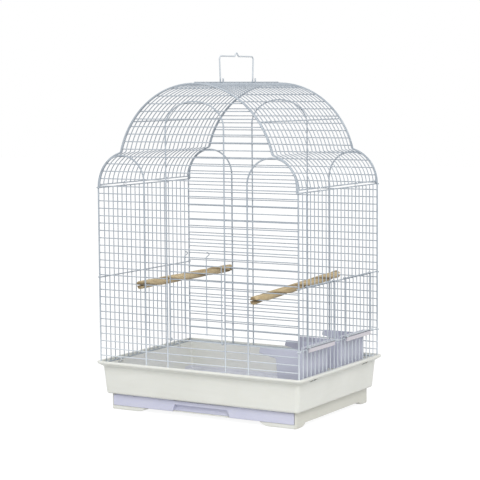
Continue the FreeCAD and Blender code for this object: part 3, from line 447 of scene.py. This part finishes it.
def dowel_ring(bm, y, radius, half, phase):
    """One ring of the dowel's surface, cut by the grooves and worn round near an end."""
    near_end = min(half - abs(y), END_ROUND)
    round_off = END_ROUND - math.sqrt(max(END_ROUND ** 2 - (END_ROUND - near_end) ** 2, 0.0))
    ring = []
    for count in range(DOWEL_AROUND):
        angle = 2 * math.pi * count / DOWEL_AROUND
        groove = angle - phase + 2 * math.pi * y / GROOVE_TURN
        gap = math.atan2(math.sin(groove * 2), math.cos(groove * 2)) / 2
        depth = radius * (GROOVE_SHARE * math.exp(-(gap / GROOVE_SPREAD) ** 2)
                          + HOLLOW_SHARE * math.exp(-((gap + HOLLOW_BESIDE) / HOLLOW_SPREAD) ** 2))
        wave = TOOL_WAVE * math.sin(WAVES_AROUND * angle + WAVES_ALONG * y)
        r = radius - depth - round_off * END_ROUND_DEPTH + wave - DOWEL_SHY
        ring.append(bm.verts.new((r * math.cos(angle), y, r * math.sin(angle))))
    return ring


def grooved_dowel(name, radius, half, phase):
    """A closed dowel along Y about the origin."""
    bm = bmesh.new()
    rings = [dowel_ring(bm, -half + 2 * half * (step / DOWEL_ALONG), radius, half, phase)
             for step in range(DOWEL_ALONG + 1)]
    for first, second in zip(rings, rings[1:]):
        for count in range(DOWEL_AROUND):
            after = (count + 1) % DOWEL_AROUND
            bm.faces.new((first[count], second[count], second[after], first[after]))
    for ring, flip in ((rings[0], False), (rings[-1], True)):
        centre = bm.verts.new((0, ring[0].co.y, 0))
        for count in range(DOWEL_AROUND):
            pair = (ring[count], ring[(count + 1) % DOWEL_AROUND])
            bm.faces.new((centre, *pair) if not flip else (centre, pair[1], pair[0]))
    bmesh.ops.recalc_face_normals(bm, faces=bm.faces)
    return add_object(name + "_solid", mesh_of(name + "_solid", bm))


def slot_cutter(name, radius, place):
    """A bar with rounded long edges that cuts a slot across an end of the dowel."""
    bm = bmesh.new()
    bmesh.ops.create_cube(bm, size=1.0)
    bmesh.ops.scale(bm, vec=(2.4 * radius, SLOT_LENGTH, SLOT_HEIGHT), verts=bm.verts)
    across = [edge for edge in bm.edges if abs(edge.verts[0].co.x - edge.verts[1].co.x) > radius]
    bmesh.ops.bevel(bm, geom=across, offset=SLOT_ROUND, segments=5, profile=0.5, affect="EDGES")
    bmesh.ops.translate(bm, vec=(0, place, 0), verts=bm.verts)
    return add_object(name + "_cut", mesh_of(name + "_cut", bm))


def slotted_mesh(dowel, cutters):
    """The dowel's mesh less the cutters, which are all removed."""
    for cutter in cutters:
        change = dowel.modifiers.new("slot", "BOOLEAN")
        change.object = cutter
        change.operation = "DIFFERENCE"
        change.solver = "EXACT"
    bpy.context.view_layer.update()
    graph = bpy.context.evaluated_depsgraph_get()
    mesh = bpy.data.meshes.new_from_object(dowel.evaluated_get(graph))
    for item in [dowel, *cutters]:
        bpy.data.objects.remove(item)
    return mesh


def smooth_by_angle(mesh, degrees):
    """Marks sharp edges and shades the rest smooth, in the mesh itself."""
    for polygon in mesh.polygons:
        polygon.use_smooth = True
    bm = bmesh.new()
    bm.from_mesh(mesh)
    limit = math.radians(degrees)
    for edge in bm.edges:
        edge.smooth = len(edge.link_faces) == 2 and edge.calc_face_angle(0.0) < limit
    bm.to_mesh(mesh)
    bm.free()


def make_perch(name, node, phase, material):
    """A dowel with two slow spiral grooves, worn round at its ends, slotted to grip a bar."""
    low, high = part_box(node)
    radius = (high.x - low.x) / 2
    half = (high.y - low.y) / 2
    middle = Vector(((low.x + high.x) / 2, 0.0, (low.z + high.z) / 2))
    climb = (high.z - low.z) - 2 * radius
    slot_place = half - SLOT_LENGTH / 2 + SLOT_PAST_END
    dowel = grooved_dowel(name, radius, half, phase)
    mesh = slotted_mesh(dowel, [slot_cutter(name, radius, side * slot_place) for side in (-1, 1)])
    # Painted shade: each point's depth below the dowel's round is kept for the wood's painted shade.
    painted_shade = mesh.attributes.new("hollow", "FLOAT", "POINT")
    for vertex, mark in zip(mesh.vertices, painted_shade.data):
        depth = radius - math.hypot(vertex.co.x, vertex.co.z)
        mark.value = min(depth / (SHADE_DEPTH_SHARE * radius), 1.0)
    tilt = math.asin(climb / (2 * half)) if climb > 0.001 else 0.0
    mesh.transform(Matrix.Translation(middle) @ Matrix.Rotation(tilt, 4, "X"))
    mesh.name = name
    mesh.materials.clear()
    mesh.materials.append(material)
    smooth_by_angle(mesh, 40)
    piece = add_object(name, mesh)
    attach(piece, "cage")
    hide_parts(node)


def half_width_at(height):
    """Half the width of the outline at a height."""
    if height <= EAVE:
        return HALF_WIDTH
    if height <= NOTCH:
        return SHOULDER_X + math.sqrt(max(SHOULDER_R ** 2 - (height - EAVE) ** 2, 0.0))
    return math.sqrt(max(DOME_R ** 2 - (height - DOME_Z) ** 2, 0.0))


def side_arch_places(height):
    """Where a side arch crosses a height. Below the eaves its outer leg is the outline's own."""
    span = (SIDE_ARCH_OUTER - SIDE_ARCH_INNER) / 2
    spring = NOTCH - SIDE_ARCH_DROP - span
    middle = (SIDE_ARCH_OUTER + SIDE_ARCH_INNER) / 2
    if height <= spring:
        return [SIDE_ARCH_INNER] + ([SIDE_ARCH_OUTER] if height > EAVE else [])
    if height >= spring + span:
        return []
    reach = math.sqrt(span ** 2 - (height - spring) ** 2)
    return [middle - reach, middle + reach]


def centre_arch_places(height):
    """Where the centre arch crosses a height, on one side of the middle."""
    if height <= CENTRE_ARCH_SPRING:
        return [CENTRE_ARCH_HALF]
    if height >= CENTRE_ARCH_TOP:
        return []
    share = (height - CENTRE_ARCH_SPRING) / (CENTRE_ARCH_TOP - CENTRE_ARCH_SPRING)
    return [CENTRE_ARCH_HALF * math.sqrt(1 - share ** 2)]


def add_bead(bm, place, size, lie):
    """A small flattened weld nugget; lie is the direction from one wire to the other."""
    made = bmesh.ops.create_icosphere(bm, subdivisions=2, radius=1.0)
    turn = Vector(lie).to_track_quat("Z", "Y").to_matrix().to_4x4()
    wide = size * random.uniform(0.92, 1.12)
    deep = size * random.uniform(0.62, 0.78)
    stretch = Matrix.Diagonal((wide, wide * random.uniform(0.9, 1.1), deep, 1.0))
    bmesh.ops.transform(bm, matrix=Matrix.Translation(place) @ turn @ stretch, verts=made["verts"])


def make_welds(name, bm, material):
    """The beads as one piece that rides on the cage."""
    mesh = mesh_of(name, bm)
    for polygon in mesh.polygons:
        polygon.use_smooth = True
    piece = add_object(name, mesh)
    mesh.materials.append(material)
    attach(piece, "cage")


def bar_places():
    """Distances of the upright bars and hoops from the middle."""
    return [BAR_PITCH * (step + 0.5) for step in range(BARS_TO_A_SIDE)]


def panel_welds(name, side, material):
    """Beads where the level bars cross the outline and the arches of the front or back panel."""
    bm = bmesh.new()
    for row in range(ROW_COUNT):
        height = FIRST_ROW + ROW_PITCH * row
        outline = half_width_at(height)
        places = [(outline, FRAME_BEAD)]
        places += [(x, FRAME_BEAD) for x in side_arch_places(height) if x < outline - 2 * BAR_R]
        places += [(x, ARCH_BEAD) for x in centre_arch_places(height)]
        for x, size in places:
            for hand in (-1, 1):
                add_bead(bm, (hand * x, side * (ROW_PLANE + BAR_R), height), size, (0, side, 0))
    make_welds(name, bm, material)


def wall_welds(name, hand, has_feeders, material):
    """Beads where the upright bars of a side wall cross its rails."""
    bm = bmesh.new()
    levels = [SEAT + RAIL_R, MID_RAIL, EAVE] + ([FEEDER_RAIL] if has_feeders else [])
    for place in bar_places():
        for y in (-place, place):
            for height in levels:
                add_bead(bm, (hand * (RAIL_PLANE + RAIL_R), y, height), RAIL_BEAD, (hand, 0, 0))
    make_welds(name, bm, material)


def roof_welds(name, material):
    """Beads where the roof's hoops cross its long rails and the ridge rail."""
    bm = bmesh.new()
    low = math.asin(LOW_RAIL_RISE / SHOULDER_R)
    high = math.acos(DOME_RAIL_X / DOME_R)
    rails = ((SHOULDER_X, EAVE, SHOULDER_R - BAR_R, low), (0.0, DOME_Z, DOME_R - BAR_R, high))
    for place in bar_places() + [ROW_PLANE - 2 * BAR_R - HOOP_GAP]:
        for y in (-place, place):
            for hand in (-1, 1):
                for x, z, reach, angle in rails:
                    spot = (hand * (x + reach * math.cos(angle)), y, z + reach * math.sin(angle))
                    add_bead(bm, spot, RAIL_BEAD, (hand * math.cos(angle), 0, math.sin(angle)))
            add_bead(bm, (0, y, RIDGE + BAR_R), RAIL_BEAD, (0, 0, 1))
    make_welds(name, bm, material)


set_camera()
make_world()
make_stage()
make_light("key", (2.0, -2.2, 2.4), 62.0, (1.0, 0.99, 0.965))
make_light("side", (-2.4, -1.9, 2.6), 16.0, (0.97, 0.985, 1.0))

coat = wire_coat()
tray = tray_plastic()
lavender = lavender_plastic()
cup = cup_plastic()
wood = perch_wood()
steel = spring_wire()
finishes = (("base_tray", tray), ("drawer", lavender), ("cup", cup), ("perch", wood), ("clip", steel))
for name, node in nodes.items():
    fitting = [material for word, material in finishes if word in name]
    node.data.materials.clear()
    node.data.materials.append(fitting[0] if fitting else coat)

make_perch("perch_dowel_left", "perch_left", math.radians(-105), wood)
make_perch("perch_dowel_right", "perch_right", math.radians(-150), wood)
panel_welds("front_panel_welds", -1, coat)
panel_welds("back_panel_welds", 1, coat)
wall_welds("left_side_welds", -1, False, coat)
wall_welds("right_side_welds", 1, True, coat)
roof_welds("roof_welds", coat)

bpy.context.scene.view_settings.view_transform = "Standard"
